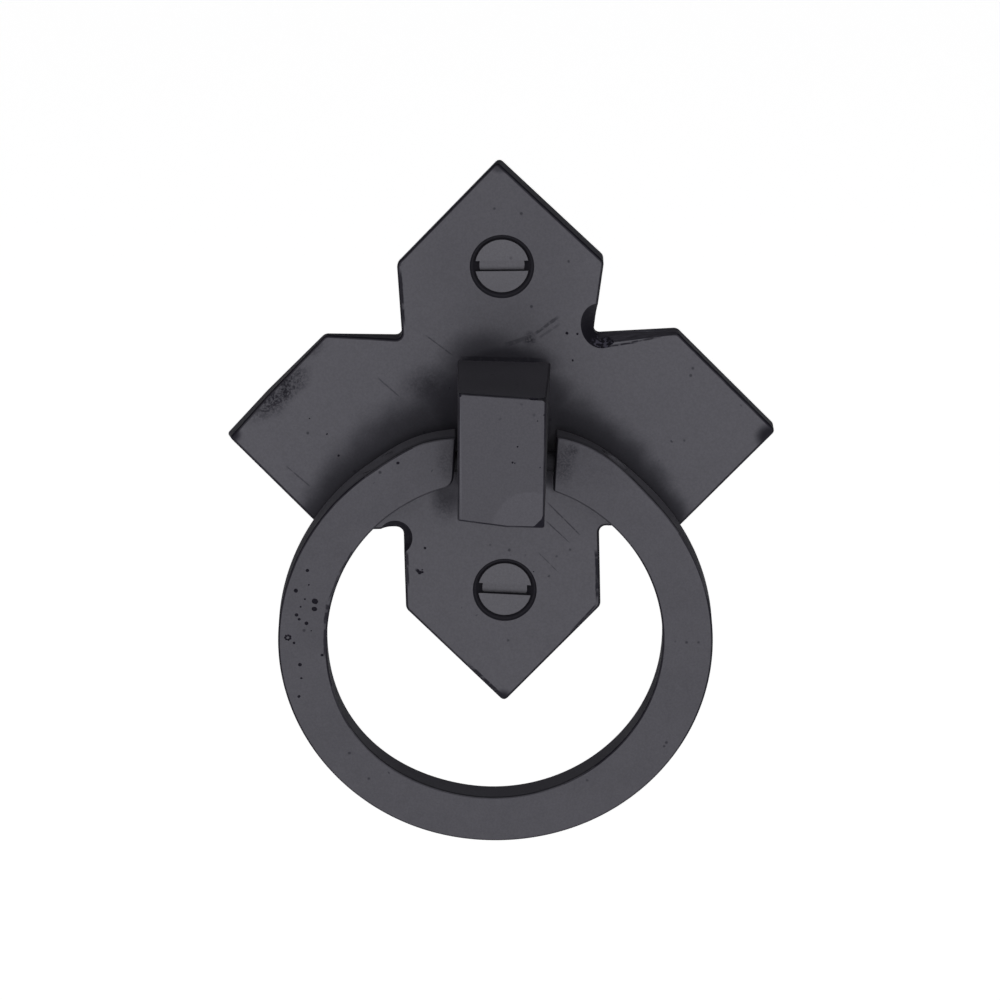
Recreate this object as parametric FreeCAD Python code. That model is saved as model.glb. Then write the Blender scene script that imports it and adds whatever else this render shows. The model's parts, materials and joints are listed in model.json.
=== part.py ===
import FreeCAD, Part

import math
import os

from FreeCAD import Vector

# A drop pull for a drawer or cabinet door: a cross-shaped backplate, a square post riveted to it,
# and an open ring that hangs from a pin through the post. Two slotted wood screws hold it up.
# Millimetres. The origin is the middle of the backplate's back face, +Z is up, and the front looks
# along -Y, so the wood of the drawer begins at Y = 0.

# Backplate
plate_reach = 31.75          # centre to the tip of each arm
plate_thickness = 3.2
arm_half_width = 11.3
top_root_narrowing = 0.2     # the top arm is this much narrower than the others at its root, on
top_shoulder_widening = 0.6  # either side, and this much wider at its shoulders
inner_corner_radius = 0.8
outer_corner_radius = 0.5
plate_edge_round = 0.3

# Two inner corners were dug out by a file, wide at the front and narrow at the back. One is the
# upper right corner and the other the lower left, and each scoop lies a little outside its corner.
scoop_front_radius = 1.95
scoop_back_radius = 0.65
upper_scoop_outwards = 0.25
upper_scoop_upwards = 0.7
lower_scoop_outwards = 0.7
lower_scoop_downwards = 1.1

# Screws and their countersunk holes, on a line a little right of the middle
screw_to_tip = 12.7          # from each screw to the arm's tip, which puts the two 38.1 apart
screw_line_x = 0.25
screw_middle_z = 0.5
sink_radius = 3.7
sink_half_angle = 41.0
screw_head_radius = 3.15
screw_head_rim = 0.25
screw_shank_radius = 1.5
screw_thread_radius = 1.75
screw_length = 19.0
screw_point_length = 4.0
slot_width = 1.15
slot_depth = 0.9
top_slot_turn = 0.0
bottom_slot_turn = -3.4

# Post
post_base_width = 10.4
post_base_height = 15.2
post_front_width = 9.8
post_front_height = 14.8
post_reach = 18.5            # from the plate's front face
post_base_x = 0.35
post_front_x = 0.05
post_z = 0.95
post_edge_round = 0.3
tenon_radius = 3.0
rivet_radius = 3.7
rivet_depth = 1.0
rivet_sunk = 0.2             # dressed off below the plate's back, so that the plate lies flat

# Ring and pivot pin
ring_outer_radius = 25.0
ring_width = 5.4             # from the outer edge to the inner edge
ring_thickness = 3.7
ring_edge_round = 0.3
ring_x = -1.0                # the ring hangs a little left of the post
gap_width = 11.5             # between the ring's two ends
gap_turn = 3.6               # the gap is cut this many degrees off the ring's top
pin_radius = 1.2
pin_to_rim = 3.8             # from the pin's axis to the top of the ring's full circle
pin_z = -2.4
pin_height = 7.4             # from the mounting plane

# Clearances
screw_hole_clearance = 0.2
screw_seat_gap = 0.02
rivet_gap = 0.02
pin_running_clearance = 0.05
pin_push_clearance = 0.01
ring_rest_gap = 0.15         # between the ring's foot and the mounting plane

same_place = 0.001           # two points this near each other are taken as one


def across(radius, x, z, y_from, y_to, end_radius=None):
    """A cylinder, or a cone if it ends at another radius, along Y."""
    place, way, length = Vector(x, y_from, z), Vector(0, 1, 0), y_to - y_from
    if end_radius is None:
        return Part.makeCylinder(radius, length, place, way)
    return Part.makeCone(radius, end_radius, length, place, way)


def box_between(low, high):
    size = [b - a for a, b in zip(low, high)]
    return Part.makeBox(*size, Vector(*low))


def round_edges(solid, radius, wanted):
    edges = [edge for edge in solid.Edges if wanted(edge)]
    return solid.makeFillet(radius, edges)


def runs_along_y(edge):
    first, last = edge.Vertexes[0].Point, edge.Vertexes[-1].Point
    return math.hypot(last.x - first.x, last.z - first.z) < same_place


def lies_at_y(edge, y):
    box = edge.BoundBox
    return abs(box.YMin - y) < same_place and abs(box.YMax - y) < same_place


def depth_of_cone(wide, narrow):
    """How deep a countersink goes while it narrows from one radius to another."""
    return (wide - narrow) / math.tan(math.radians(sink_half_angle))


def screw_centres():
    half_spacing = plate_reach - screw_to_tip
    return [(screw_line_x, screw_middle_z + side * half_spacing) for side in (1, -1)]


def top_root_half_width():
    return arm_half_width - top_root_narrowing


def plate_outline():
    shoulder = plate_reach - arm_half_width
    top_shoulder = arm_half_width + top_shoulder_widening
    right_side = [
        (top_shoulder, plate_reach - top_shoulder),
        (top_root_half_width(), arm_half_width),
        (shoulder, arm_half_width),
        (plate_reach, 0),
        (shoulder, -arm_half_width),
        (arm_half_width, -arm_half_width),
        (arm_half_width, -shoulder),
    ]
    left_side = [(-x, z) for x, z in reversed(right_side)]
    return [(0, plate_reach)] + right_side + [(0, -plate_reach)] + left_side


def stands_at_corner(edge, corners):
    """Whether an edge runs along Y through one of these corners of the outline."""
    point = edge.Vertexes[0].Point
    return runs_along_y(edge) and any(math.hypot(point.x - x, point.z - z) < same_place for x, z in corners)


def make_backplate():
    front = -plate_thickness
    points = [Vector(x, front, z) for x, z in plate_outline()]
    face = Part.Face(Part.makePolygon(points + points[:1]))
    plate = face.extrude(Vector(0, plate_thickness, 0))
    roots = (top_root_half_width(), arm_half_width)
    inner = [(side * roots[0], roots[1]) for side in (1, -1)]
    inner += [(side * roots[1], -roots[1]) for side in (1, -1)]
    outer = [corner for corner in plate_outline() if corner not in inner]
    plate = round_edges(plate, inner_corner_radius, lambda e: stands_at_corner(e, inner))
    plate = round_edges(plate, outer_corner_radius, lambda e: stands_at_corner(e, outer))
    plate = round_edges(plate, plate_edge_round, lambda e: lies_at_y(e, front))

    scoops = [
        (top_root_half_width() + upper_scoop_outwards, arm_half_width + upper_scoop_upwards),
        (-arm_half_width - lower_scoop_outwards, -arm_half_width - lower_scoop_downwards),
    ]
    for x, z in scoops:
        plate = plate.cut(across(scoop_front_radius, x, z, front, 0, scoop_back_radius))

    hole_radius = screw_thread_radius + screw_hole_clearance
    sink_depth = depth_of_cone(sink_radius, hole_radius)
    for x, z in screw_centres():
        plate = plate.cut(across(hole_radius, x, z, front, 0))
        plate = plate.cut(across(sink_radius, x, z, front, front + sink_depth, hole_radius))

    tenon_hole = tenon_radius + rivet_gap
    plate = plate.cut(across(tenon_hole, post_base_x, post_z, front, 0))
    plate = plate.cut(
        across(tenon_hole, post_base_x, post_z, -rivet_depth, 0, rivet_radius + rivet_gap)
    )
    return plate


def rectangle_at(x, y, z, width, height):
    corners = [(-1, -1), (1, -1), (1, 1), (-1, 1)]
    points = [Vector(x + a * width / 2, y, z + b * height / 2) for a, b in corners]
    return Part.makePolygon(points + points[:1])


def make_post():
    root = -plate_thickness
    front = root - post_reach
    base = rectangle_at(post_base_x, root, post_z, post_base_width, post_base_height)
    face = rectangle_at(post_front_x, front, post_z, post_front_width, post_front_height)
    post = Part.makeLoft([base, face], True, True)
    post = round_edges(post, post_edge_round, lambda e: not lies_at_y(e, root))
    tenon = across(tenon_radius, post_base_x, post_z, root, 0)
    rivet = across(tenon_radius, post_base_x, post_z, -rivet_depth, 0, rivet_radius)
    dressed_off = across(2 * rivet_radius, post_base_x, post_z, -rivet_sunk, rivet_depth)
    post = post.fuse(tenon).fuse(rivet).removeSplitter().cut(dressed_off)
    half = post_base_width
    bore = Part.makeCylinder(
        pin_radius + pin_running_clearance,
        2 * half,
        Vector(post_base_x - half, -pin_height, pin_z),
        Vector(1, 0, 0),
    )
    return post.cut(bore)


def pin_above_centre():
    return ring_outer_radius - pin_to_rim


def rest_tilt():
    """How far the ring leans back when its foot is just clear of the mounting plane, in degrees."""
    arm = pin_above_centre() + ring_outer_radius
    half = ring_thickness / 2
    reach = pin_height - ring_rest_gap
    return math.degrees(math.asin(reach / math.hypot(arm, half)) - math.atan2(half, arm))


def hang_on_pin(shape):
    """Take a shape from the ring's own frame, with its centre at the origin, to its place at rest."""
    shape.translate(Vector(ring_x, 0, -pin_above_centre()))
    shape.rotate(Vector(0, 0, 0), Vector(1, 0, 0), rest_tilt())
    shape.translate(Vector(0, -pin_height, pin_z))
    return shape


def pin_through_ring(radius):
    length = 2 * (ring_outer_radius + ring_thickness)
    start = Vector(-length / 2, 0, pin_above_centre())
    return Part.makeCylinder(radius, length, start, Vector(1, 0, 0))


def make_ring():
    half = ring_thickness / 2
    ring = across(ring_outer_radius, 0, 0, -half, half)
    ring = ring.cut(across(ring_outer_radius - ring_width, 0, 0, -half, half))
    ring = round_edges(ring, ring_edge_round, lambda e: lies_at_y(e, half) or lies_at_y(e, -half))
    side = gap_width / 2
    gap = box_between((-side, -ring_thickness, 0), (side, ring_thickness, 2 * ring_outer_radius))
    gap.rotate(Vector(0, 0, 0), Vector(0, 1, 0), gap_turn)
    ring = ring.cut(gap)
    ring = ring.cut(pin_through_ring(pin_radius + pin_push_clearance))
    return hang_on_pin(ring)


def make_pivot_pin():
    rim = across(ring_outer_radius, 0, 0, -ring_thickness, ring_thickness)
    return hang_on_pin(pin_through_ring(pin_radius).common(rim))


def make_screw(x, z, slot_turn):
    """A countersunk wood screw. Its thread is a plain cylinder up to the crest of the thread."""
    seat = -plate_thickness + depth_of_cone(sink_radius, screw_head_radius) - screw_seat_gap
    top = seat - screw_head_rim
    neck = seat + depth_of_cone(screw_head_radius, screw_shank_radius)
    tip = top + screw_length
    point = tip - screw_point_length
    pieces = [
        across(screw_head_radius, x, z, seat, neck, screw_shank_radius),
        across(screw_shank_radius, x, z, neck, 0),
        across(screw_thread_radius, x, z, 0, point),
        across(screw_thread_radius, x, z, point, tip, 0),
    ]
    screw = across(screw_head_radius, x, z, top, seat)
    for piece in pieces:
        screw = screw.fuse(piece)
    wide = 2 * screw_head_radius
    slot = box_between(
        (x - wide, top - slot_depth, z - slot_width / 2), (x + wide, top + slot_depth, z + slot_width / 2)
    )
    slot.rotate(Vector(x, top, z), Vector(0, -1, 0), slot_turn)
    return screw.removeSplitter().cut(slot)


def main():
    os.makedirs("parts", exist_ok=True)
    (top_x, top_z), (bottom_x, bottom_z) = screw_centres()
    parts = {
        "backplate": make_backplate(),
        "post": make_post(),
        "ring": make_ring(),
        "pivot_pin": make_pivot_pin(),
        "top_screw": make_screw(top_x, top_z, top_slot_turn),
        "bottom_screw": make_screw(bottom_x, bottom_z, bottom_slot_turn),
    }
    for name, shape in parts.items():
        shape.exportStep(f"parts/{name}.step")
        print(name, "solids", len(shape.Solids), "valid", shape.isValid(), "volume", round(shape.Volume, 2))
    print("ring leans back", round(rest_tilt(), 3), "degrees at rest")


main()
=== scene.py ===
import json
import math
import random

import bmesh
import bpy
from bpy.props import FloatProperty, FloatVectorProperty, IntProperty, PointerProperty
from mathutils import Matrix, Vector


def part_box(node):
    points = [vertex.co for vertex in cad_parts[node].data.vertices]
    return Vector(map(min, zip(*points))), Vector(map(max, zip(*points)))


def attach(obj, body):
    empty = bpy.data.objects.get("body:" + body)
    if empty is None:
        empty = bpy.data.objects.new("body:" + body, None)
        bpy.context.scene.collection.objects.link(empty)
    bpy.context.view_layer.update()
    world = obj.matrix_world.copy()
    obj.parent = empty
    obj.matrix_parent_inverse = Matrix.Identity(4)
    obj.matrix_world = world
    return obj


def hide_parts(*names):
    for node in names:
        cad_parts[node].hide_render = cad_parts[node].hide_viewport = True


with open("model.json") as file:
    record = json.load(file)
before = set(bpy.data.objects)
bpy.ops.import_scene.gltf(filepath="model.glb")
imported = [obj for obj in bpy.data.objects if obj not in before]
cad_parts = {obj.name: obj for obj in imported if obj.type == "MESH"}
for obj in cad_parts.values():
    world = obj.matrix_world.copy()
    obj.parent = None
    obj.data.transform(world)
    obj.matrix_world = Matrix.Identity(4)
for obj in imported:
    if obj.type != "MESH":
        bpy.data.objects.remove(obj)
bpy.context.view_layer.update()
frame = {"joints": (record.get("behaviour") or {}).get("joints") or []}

# The drop pull's visual model. Blender's metres, in the frame of the CAD part: the origin is the
# middle of the backplate's back face, +Z is up and the front looks along -Y. Sizes that the CAD
# part fixes are read from its boxes, and the small forms and finishes are added here. The tables
# are in millimetres and degrees.

bl_info = {
    "name": "Drop Pull Dressing",
    "version": (1, 0, 0),
    "blender": (4, 5, 0),
    "location": "View3D > Sidebar > Drop Pull",
    "description": "Builds a drop pull's detailed pieces over its CAD part, with their finishes and a stage",
    "category": "Object",
}

MM = 0.001
SAME_PLACE = 0.001 * MM
ORIGIN = (0, 0, 0)
RIGHT, BACK, UP = (1, 0, 0), (0, 1, 0), (0, 0, 1)
FIXED, MOVING = "plate_and_post", "ring_and_pin"

plate_low, plate_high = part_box("backplate")
post_low, post_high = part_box("post")
ring_low, ring_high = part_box("ring")
CAD_TIP_ROUND = 0.5 * MM
PLATE_REACH = plate_high.x + (math.sqrt(2) - 1) * CAD_TIP_ROUND
FACE_Y = plate_low.y
POST_FRONT_Y = post_low.y
POST_X, POST_Z = (post_low.x + post_high.x) / 2, (post_low.z + post_high.z) / 2
RING_RADIUS = (ring_high.x - ring_low.x) / 2
RING_X = (ring_high.x + ring_low.x) / 2
HINGE = Vector(frame["joints"][0]["pos_m"])

# Where the ring was filed more or less: the middle and reach of each place, anticlockwise from the
# right, and how far it stands out. The rim stands further out at the ring's front than at its back.
OUTER_FILING = ((-25, 75, 0.30), (150, 40, -0.14), (-90, 30, -0.045), (68, 24, 0.60), (111, 14, 0.30))
INNER_FILING = ((-142, 42, 0.36), (-105, 70, 0.10), (170, 40, -0.12))
FRONT_FLARE = ((64, 26, 0.45), (106, 12, 0.22))

# How far some corners of the plate's face stand from those of its back (x, z).
FACE_SHIFT = {
    "top_tip": (-0.31, 0.10), "top_left_shoulder": (0, 0.41), "top_right_shoulder": (0, -0.21),
    "left_upper_shoulder": (0.12, 0.42), "left_upper_bend": (0.12, 0.06), "left_tip": (0.45, 0.2),
}

# The post's corners, at its front (x, z) and at its root (x, z).
POST_CORNERS = {
    "top_left": (-4.82, 8.72, -4.92, 8.62), "top_right": (5.12, 7.92, 5.74, 8.22),
    "low_right": (4.78, -7.02, 5.00, -6.65), "low_middle": (0.56, -6.88, 0.56, -6.60),
    "low_left": (-5.04, -6.08, -4.85, -6.5),
}

# Casting pits (x, z, radius), and nicks (x, z, half length, half height, turn).
PLATE_PITS = (
    (-22.06, 1.93, 0.10), (-18.77, -2.47, 0.16), (-20.07, 0.09, 0.10), (-9.78, -16.2, 0.22),
    (-9.28, -16.08, 0.12), (-9.55, -16.4, 0.22), (-9.25, -16.35, 0.16), (-8.92, -13.5, 0.15),
    (7.64, 11.7, 0.20), (8.85, 11.6, 0.15), (8.28, 8.5, 0.14), (-5.9, 5.4, 0.08), (3.6, -16.4, 0.08),
    (11.25, -18.4, 0.24),
)
POST_PITS = (
    (-4.62, 8.45, 0.2), (1.82, 2.46, 0.12), (1.24, 0.64, 0.13), (1.5, 0.58, 0.09), (4.34, 0.04, 0.08),
    (4.1, 5.41, 0.09), (4.86, 6.1, 0.1), (4.9, 4.4, 0.08),
)
POST_NICKS = ((3.7, 7.98, 0.60, 0.20, 4), (-2.3, -6.5, 0.95, 0.24, 6))
RING_PITS = (
    (-21.44, 8.77, 0.20), (-21.30, 7.01, 0.11), (-22.81, 6.31, 0.26), (-21.78, 5.26, 0.14),
    (-20.63, 4.98, 0.35), (-20.71, 4.04, 0.28), (-22.29, 4.33, 0.13), (-22.78, 3.33, 0.24),
    (-22.49, 2.80, 0.20), (-21.65, 2.29, 0.23), (-21.11, 1.37, 0.09), (-23.13, -0.11, 0.18),
    (-19.92, -1.65, 0.16), (-22.49, -2.80, 0.25), (-22.36, -4.47, 0.15), (-22.67, -6.73, 0.18),
    (-10.86, 21.77, 0.20),
)

# Patches of painted shade on the plate's face round the post, in the gaps beside the ring's ends and over
# the top arm, and darker patches at the four tips (x, z, half width, half height, strength).
PLATE_SHADE_AND_TIP_PATCHES = (
    (-2.0, 3.0, 9.7, 6.5, 0.80), (-2.0, 7.5, 5.5, 5.0, 0.60), (4.5, 3.5, 4.4, 4.0, 0.64),
    (0.2, 8.2, 6.4, 2.7, 0.80), (-6.0, -6.0, 2.4, 3.8, 0.50), (6.0, -2.5, 1.8, 4.2, 0.30),
    (6.2, -5.2, 1.4, 2.0, 0.55), (0.0, 26.0, 15.0, 14.0, 0.08), (-0.2, -31.7, 1.3, 1.3, 0.90),
    (31.1, -0.7, 1.9, 1.6, 1.00), (-31.2, 0.1, 1.3, 1.1, 0.95), (0.0, 31.6, 1.3, 1.3, 0.60),
)

# Marks (x, z, to x, to z, width, strength) and speckled patches (x, z, radius, stretch, turn, strength).
# On the plate some marks are scratches, and others painted shade along its edges, under the filed bevel
# and along the post's root. On the ring the marks are painted shade along its inner edge, and the patches
# speckled painted shade that the post casts on its face beside the ends.
PLATE_SCRATCHES_AND_SHADE_LINES = (
    (-8.77, 11.74, -5.24, 9.01, 0.10, 0.45), (-14.23, 6.74, -11.5, 4.25, 0.10, 0.4),
    (-24.96, -3.53, -21.89, -6.27, 0.10, 0.4), (4.98, -7.93, 9.34, -12.47, 0.10, 0.5),
    (4.97, -10.3, 7.95, -13.17, 0.09, 0.5), (4.13, -14.09, 6.54, -16.61, 0.08, 0.4),
    (3.4, 11.2, 6.9, 13.8, 0.24, 0.5), (4.3, 11.1, 7.0, 12.9, 0.16, 0.25),
    (0.4, 10.3, 3.8, 11.5, 0.34, 0.4), (11.2, 9.93, 15.9, 10.62, 0.15, 0.9),
    (14.8, 10.55, 18.6, 11.15, 0.12, 0.8), (10.95, -13.6, 10.98, -20.4, 0.3, 0.95),
    (11.0, -20.2, 7.6, -23.9, 0.14, 0.8), (-11.5, 19.6, -11.08, 12.4, 0.26, 0.9),
    (-11.0, -13.8, -10.92, -18.2, 0.2, 0.85), (-4.3, -27.1, 0.1, -31.4, 0.2, 0.95),
    (-5.2, 8.9, 5.9, 8.5, 0.32, 0.8),
)
PLATE_SMUDGES = (
    (-25.6, 4.9, 3.6, (0.62, 2, 1.7), 42, 1.0), (-25.7, 5.6, 3.0, (0.62, 2, 1.5), 42, 1.0),
    (-25.0, 6.3, 2.2, (0.8, 2, 1.1), 42, 0.9), (-21.5, 10.3, 2.0, (0.8, 2, 1.4), 42, 0.4),
    (-23.6, 6.6, 2.0, (1, 2, 1), 0, 0.75), (-26.0, 3.8, 2.2, (1, 2, 1), 0, 0.45),
    (-6.6, -8.3, 2.6, (1.2, 2, 0.8), 0, 0.32), (-8.6, 5.9, 3.2, (0.85, 2, 1.2), 0, 0.3),
    (3.4, 11.1, 1.1, (1, 2, 1), 0, 0.8),
)
RING_SHADE_LINES = (
    (-16.1, 11.3, -17.9, 8.2, 0.12, 0.8), (-17.8, 8.4, -19.1, 4.9, 0.12, 0.8),
    (-19.05, 4.7, -19.5, 2.3, 0.34, 0.95), (-19.45, 3.2, -19.62, -2.2, 0.22, 0.9),
)
RING_PAINTED_SHADE = (
    (9.1, 23.0, 1.2, (1, 2, 0.8), 0, 0.6), (8.1, 21.6, 2.6, (1.3, 2, 0.7), 0, 0.5),
    (-5.2, 22.0, 2.6, (1.5, 2, 0.7), 0, 0.32), (12.0, 21.5, 5.0, (0.8, 1, 1.2), 0, 0.14),
)

# How much a face's normal points through its piece. Flat faces and walls aren't rounded edges.
FLAT_FACE, NEARLY_FACE, NEARLY_WALL, FLAT_WALL = 0.985, -0.85, 0.2, 0.1

# The dull finish of walls that the rubbing pad didn't reach.
AS_CAST = {"specks": 0.3, "roughness": 0.7, "metallic": 0.15, "edges": 0.5}


# Sizes and colours

def millimetres(default, name, description):
    return FloatProperty(name=name, description=description, default=default * MM, unit="LENGTH", precision=5)


def degrees(default, name, description):
    return FloatProperty(name=name, description=description, default=math.radians(default), subtype="ANGLE")


def colour(default, name, description):
    return FloatVectorProperty(
        name=name, description=description, default=default, subtype="COLOR", min=0, max=1)


class PlateShape(bpy.types.PropertyGroup):
    """The backplate's outline, edges and countersinks"""
    arm_half_width: millimetres(11.3, "Arm half width", "From the middle line of an arm to its side")
    inner_round: millimetres(0.8, "Inner corner radius", "Radius of the four corners where two arms meet")
    tip_round: millimetres(0.55, "Tip radius", "Radius of the arms' tips")
    left_tip_round: millimetres(0.34, "Left tip radius", "Radius of the left arm's tip, filed sharper")
    shoulder_round: millimetres(0.9, "Shoulder radius", "Radius of the arms' shoulders")
    front_round: millimetres(0.28, "Front edge radius", "Rounding where the face meets the sides")
    back_round: millimetres(0.08, "Back edge radius", "Rounding where the back meets the sides")
    sink_radius: millimetres(3.7, "Countersink radius", "Radius of a countersink at the plate's face")
    hole_radius: millimetres(1.95, "Screw hole radius", "Radius of the hole below a countersink")
    sink_half_angle: degrees(41, "Countersink half angle", "Angle between a countersink's wall and its axis")
    rivet_hole_radius: millimetres(3.72, "Rivet hole radius", "Radius, at the back face, of the rivet's hole")
    rivet_hole_depth: millimetres(1.0, "Rivet hole depth", "Depth of the cone round the rivet")
    tenon_hole_radius: millimetres(3.02, "Tenon hole radius", "Radius of the hole for the post's tenon")


class PostShape(bpy.types.PropertyGroup):
    """The square post"""
    edge_round: millimetres(0.22, "Edge radius", "Rounding of the long edges and of the front edges")
    chip: millimetres(2.4, "Chip radius", "Radius that the chip leaves at the front's lower right corner")
    worn_corner: millimetres(1.0, "Worn corner radius", "Radius of the front's upper right corner")
    bore_radius: millimetres(1.25, "Bore radius", "Radius of the hole that the hinge pin turns in")
    tenon_radius: millimetres(3.0, "Tenon radius", "Radius of the round tenon that goes through the plate")
    rivet_radius: millimetres(3.7, "Rivet radius", "Radius of the riveted end at the plate's back")
    rivet_sunk: millimetres(0.2, "Rivet sunk", "How far the riveted end lies below the plate's back")


class RingShape(bpy.types.PropertyGroup):
    """The open ring and its pin"""
    width: millimetres(5.4, "Bar width", "From the ring's outer edge to its inner edge")
    thickness: millimetres(3.7, "Bar thickness", "From the ring's front face to its back face")
    edge_round: millimetres(0.22, "Edge radius", "Rounding of the ring's four edges")
    worn_corner: millimetres(1.0, "Worn corner radius", "Rounding of the lower corner of the left end")
    gap_width: millimetres(11.5, "Gap width", "Between the ring's two ends")
    gap_turn: degrees(3.6, "Gap turn", "How far the gap is cut off the ring's top")
    lean: degrees(6.728, "Lean", "How far the ring leans back towards the drawer at rest")
    pin_to_rim: millimetres(3.8, "Pin to rim", "From the pin's axis to the top of the ring's full circle")
    pin_radius: millimetres(1.2, "Pin radius", "Radius of the hinge pin")
    pin_sunk: millimetres(0.04, "Pin sunk", "How far the pin's dressed ends lie below the ring's rim")
    inner_dip: millimetres(0.17, "Inner dip", "How far the whole inner edge stands in")
    filing: FloatProperty(
        name="Uneven filing", description="How strongly the ring's edges wander, 1 as in the photo",
        default=1.0, min=0)
    steps: IntProperty(
        name="Steps round", description="Faces round the ring's full circle", default=288, min=64)


class ScrewShape(bpy.types.PropertyGroup):
    """The two slotted wood screws"""
    head_radius: millimetres(3.15, "Head radius", "Radius of the flat head")
    head_rim: millimetres(0.25, "Head rim", "Height of the straight rim round the head")
    seat_gap: millimetres(0.02, "Seat gap", "Between the head's cone and the countersink")
    root_radius: millimetres(1.22, "Thread root radius", "Radius of the core between the threads")
    crest_radius: millimetres(1.74, "Thread crest radius", "Radius over the threads")
    shank_radius: millimetres(1.5, "Shank radius", "Radius of the plain shank under the head")
    pitch: millimetres(1.41, "Thread pitch", "Distance between two threads")
    length: millimetres(19.0, "Length", "From the top of the head to the point")
    point_length: millimetres(4.0, "Point length", "Length of the tapered point")
    slot_width: millimetres(1.2, "Slot width", "Width of the driver slot")
    slot_depth: millimetres(0.9, "Slot depth", "Depth of the driver slot")


class FinishColours(bpy.types.PropertyGroup):
    """Colours of the blackened metal, scene linear"""
    plate: colour((0.0810, 0.0791, 0.0908), "Backplate", "Colour of the backplate")
    post: colour((0.0700, 0.0682, 0.0790), "Post", "Colour of the post")
    ring: colour((0.0810, 0.0790, 0.0910), "Ring", "Colour of the ring")
    # The pin is painted darker than its steel, for the deep shade of the gap where it shows.
    pin: colour((0.030, 0.029, 0.035), "Pin", "Colour of the hinge pin")
    screw: colour((0.0950, 0.0930, 0.1050), "Screws", "Colour of the screws")
    wall: colour((0.0660, 0.0630, 0.0780), "Walls", "Colour of the as-cast side walls")
    # The post's walls are painted lighter than its front, for the light on its top, and its right side
    # darker, for the shade beside the gap.
    painted_light_post_walls: colour((0.0950, 0.0915, 0.1080), "Post's sides", "Colour of the post's top and sides")
    painted_shade_post_side: colour((0.0380, 0.0368, 0.0440), "Post's right side", "Colour of the post's right side")
    # The ring's walls are painted lighter, for the light that falls on its rim from above.
    painted_light_ring_walls: colour((0.1360, 0.1320, 0.1530), "Ring's walls", "Colour of the ring's rim and inner wall")
    cavity: colour((0.0195, 0.0185, 0.0250), "Cavities", "Colour inside pits and dug-out corners")


class StageSettings(bpy.types.PropertyGroup):
    """Camera, lamps and floor"""
    elevation: degrees(12.8, "Camera elevation", "How far the camera looks down")
    roll: degrees(-0.5, "Camera roll", "How far the camera is turned about its own line of sight")
    distance: millimetres(900, "Camera distance", "From the camera to the point that it looks at")
    lens: FloatProperty(
        name="Lens", description="Focal length in millimetres on a 36 mm sensor", default=279.7)
    floor_drop: millimetres(160, "Floor drop", "How far the floor lies below the plate's middle")
    floor_radius: millimetres(3000, "Floor radius", "Radius of the pale floor, which turns up at its rim")
    soft_box: millimetres(2200, "Soft box width", "Width of the large lamp in front of the object")
    soft_box_height: millimetres(1500, "Soft box height", "Height of the large lamp in front of the object")
    soft_box_power: FloatProperty(
        name="Soft box power", description="Power of the large lamp in watts", default=12.0)
    room: FloatProperty(
        name="Room light", description="Strength of the even light from all round", default=0.06)


# Mesh helpers

def finish_mesh(bm, name, materials):
    """Turn a bmesh into an object at the origin."""
    mesh = bpy.data.meshes.new(name)
    bm.to_mesh(mesh)
    bm.free()
    for material in materials:
        mesh.materials.append(material)
    piece = bpy.data.objects.new(name, mesh)
    bpy.context.scene.collection.objects.link(piece)
    return piece


def discard(helper):
    mesh = helper.data
    bpy.data.objects.remove(helper)
    bpy.data.meshes.remove(mesh)


def prism(outline, y_from, y_to):
    """A closed bmesh whose outline, points (x, z), runs straight from one depth to another."""
    bm = bmesh.new()
    face = bm.faces.new([bm.verts.new((x, y_from, z)) for x, z in outline])
    grown = bmesh.ops.extrude_face_region(bm, geom=[face])["geom"]
    moved = [part for part in grown if isinstance(part, bmesh.types.BMVert)]
    bmesh.ops.translate(bm, verts=moved, vec=(0, y_to - y_from, 0))
    bmesh.ops.recalc_face_normals(bm, faces=bm.faces)
    return bm


def spin_chain(bm, points, centre, axis, steps, closed=False):
    """Turn a chain of points right round an axis."""
    verts = [bm.verts.new(point) for point in points]
    ends = verts[1:] + verts[:1] if closed else verts[1:]
    edges = [bm.edges.new(pair) for pair in zip(verts, ends)]
    bmesh.ops.spin(
        bm, geom=verts + edges, cent=centre, axis=axis, angle=2 * math.pi, steps=steps, use_merge=True)
    bmesh.ops.remove_doubles(bm, verts=bm.verts, dist=SAME_PLACE / 2)
    bmesh.ops.recalc_face_normals(bm, faces=bm.faces)


def turned(bm, profile, x, z, steps=64):
    """Turn a profile, points (radius, y), about the line along Y through (x, z)."""
    spin_chain(bm, [(x + radius, y, z) for radius, y in profile], (x, 0, z), BACK, steps)


def round_off(bm, edges, size, segments=3):
    bmesh.ops.bevel(
        bm, geom=edges, offset=size, offset_type="OFFSET", affect="EDGES", segments=segments,
        profile=0.5, material=-1, clamp_overlap=True)


def plane_cut(bm, point, outwards, slot):
    """Cut off what lies beyond a plane, and close the cut with a face of the given slot."""
    cut = bmesh.ops.bisect_plane(
        bm, geom=bm.verts[:] + bm.edges[:] + bm.faces[:], plane_co=point, plane_no=outwards, clear_outer=True)
    rim = [part for part in cut["geom_cut"] if isinstance(part, bmesh.types.BMEdge)]
    for face in bmesh.ops.edgeloop_fill(bm, edges=rim)["faces"]:
        face.material_index = slot


def lies_near(point, x, y, z):
    return (point - Vector((x, y, z))).length < SAME_PLACE


def lies_at_y(edge, y):
    return all(abs(v.co.y - y) < SAME_PLACE for v in edge.verts)


def is_sharp(edge):
    return len(edge.link_faces) == 2 and edge.calc_face_angle(0) > math.radians(30)


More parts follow.
